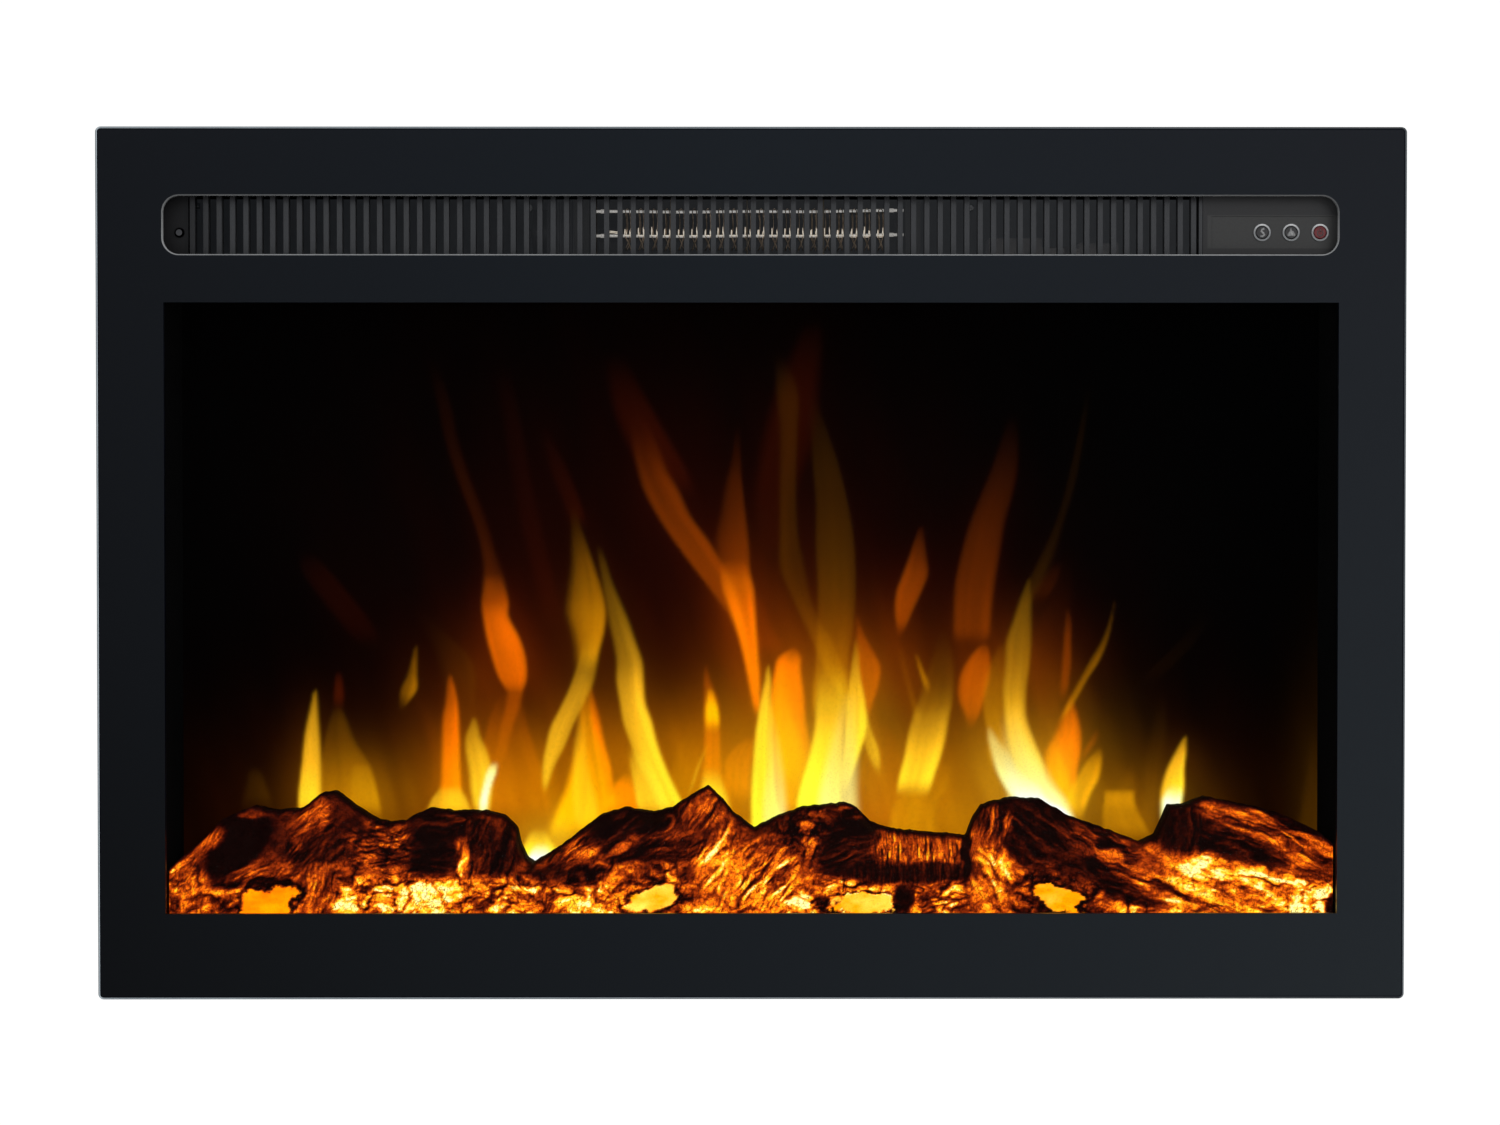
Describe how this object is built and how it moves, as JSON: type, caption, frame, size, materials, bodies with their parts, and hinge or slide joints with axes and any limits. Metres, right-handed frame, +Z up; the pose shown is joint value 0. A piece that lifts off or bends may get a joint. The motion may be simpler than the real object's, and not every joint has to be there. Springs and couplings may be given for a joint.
{
  "type": "electric fireplace insert",
  "caption": "Electric fireplace insert with a flat black glass front, an air slot with a slatted grille and buttons, a window on a log set with a flame effect, and a steel casing behind.",
  "frame": {"origin": "centre of the casing's underside, halfway along its width and depth", "axes": "+Z up, the glass front faces -Y, +X to the right as seen from the front"},
  "size_m": [0.762, 0.1922, 0.508],
  "materials": {
    "front_glass": "polished, black border enamelled on the rear",
    "foam_tape": "foam",
    "black_steel": "satin black powder coat",
    "galvanised_steel": "galvanised",
    "zinc_steel": "bright zinc",
    "grille_plastic": "fine moulded texture",
    "chrome": "polished",
    "fascia_plastic": "satin",
    "button_dark": "satin",
    "button_red": "satin",
    "circuit_board": "solder mask",
    "black_plastic": "moulded",
    "white_plastic": "moulded",
    "smoked_plastic": "polished",
    "aluminised_steel": "aluminised",
    "mica": "mica paper",
    "bright_rod": "drawn",
    "resistance_wire": "oxidised",
    "phenolic": "phenolic",
    "impeller_aluminium": "mill",
    "lamination": "stamped",
    "coil_tape": "wrapped tape",
    "black_rubber": "moulded",
    "screen_plastic": "smoked translucent",
    "bright_foil": "polished foil",
    "led_lens": "clear",
    "log_resin": "moulded and painted resin",
    "ember_plastic": "translucent amber",
    "brass": "bright"
  },
  "bodies": {
    "root": {"back_panel": "galvanised_steel", "blower_bush": "black_rubber", "blower_scroll": "aluminised_steel", "board_components": "black_plastic", "board_standoffs": "white_plastic", "button_bezels": "chrome", "casing_base": "galvanised_steel", "casing_screws": "zinc_steel", "casing_side_left": "galvanised_steel", "casing_side_right": "galvanised_steel", "casing_top": "galvanised_steel", "control_board": "circuit_board", "control_fascia": "fascia_plastic", "cord_gland": "black_plastic", "earth_stud": "brass", "ember_diffuser": "ember_plastic", "ember_led_board": "circuit_board", "ember_leds": "led_lens", "firebox_side_left": "black_steel", "firebox_side_right": "black_steel", "flame_led_board": "circuit_board", "flame_leds": "led_lens", "flame_screen": "screen_plastic", "flame_template": "black_steel", "front_frame": "black_steel", "front_glass": "front_glass", "glass_tape": "foam_tape", "grille_screws": "chrome", "hanging_studs": "zinc_steel", "heater_duct": "aluminised_steel", "heater_rods": "bright_rod", "heater_wires": "resistance_wire", "led_heatsink": "impeller_aluminium", "log_set": "log_resin", "log_tray": "black_steel", "mica_cards": "mica", "motor_brackets": "impeller_aluminium", "motor_coil": "coil_tape", "motor_stack": "lamination", "outlet_grille": "grille_plastic", "plenum_shelf": "black_steel", "power_board": "circuit_board", "remote_receiver": "smoked_plastic", "spindle_bracket": "galvanised_steel", "spindle_bush": "white_plastic", "spindle_motor": "zinc_steel", "spindle_motor_bracket": "galvanised_steel", "terminal_block": "white_plastic", "thermal_cutouts": "phenolic", "touch_switches": "black_plastic"},
    "flame_spindle": {"spindle_rod": "bright_rod", "spindle_reflectors": "bright_foil", "spindle_coupling": "black_rubber"},
    "blower_rotor": {"blower_impeller": "impeller_aluminium", "blower_shaft": "bright_rod", "motor_rotor": "lamination"},
    "heat_button": {"button_heat": "button_dark"},
    "flame_button": {"button_flame": "button_dark"},
    "power_button": {"button_power": "button_red"}
  },
  "joints": [
    {"name": "spindle_spin", "type": "hinge", "parent": "root", "child": "flame_spindle", "pos_m": [0, 0.028, 0.042], "axis": [1, 0, 0], "continuous": true},
    {"name": "blower_spin", "type": "hinge", "parent": "root", "child": "blower_rotor", "pos_m": [0, -0.02, 0.4272], "axis": [1, 0, 0], "continuous": true},
    {"name": "heat_press", "type": "slide", "parent": "root", "child": "heat_button", "axis": [0, 1, 0], "range_m": [0, 0.001], "stiffness_N_per_m": 500, "springref_m": -0.0005},
    {"name": "flame_press", "type": "slide", "parent": "root", "child": "flame_button", "axis": [0, 1, 0], "range_m": [0, 0.001], "stiffness_N_per_m": 500, "springref_m": -0.0005},
    {"name": "power_press", "type": "slide", "parent": "root", "child": "power_button", "axis": [0, 1, 0], "range_m": [0, 0.001], "stiffness_N_per_m": 500, "springref_m": -0.0005}
  ]
}
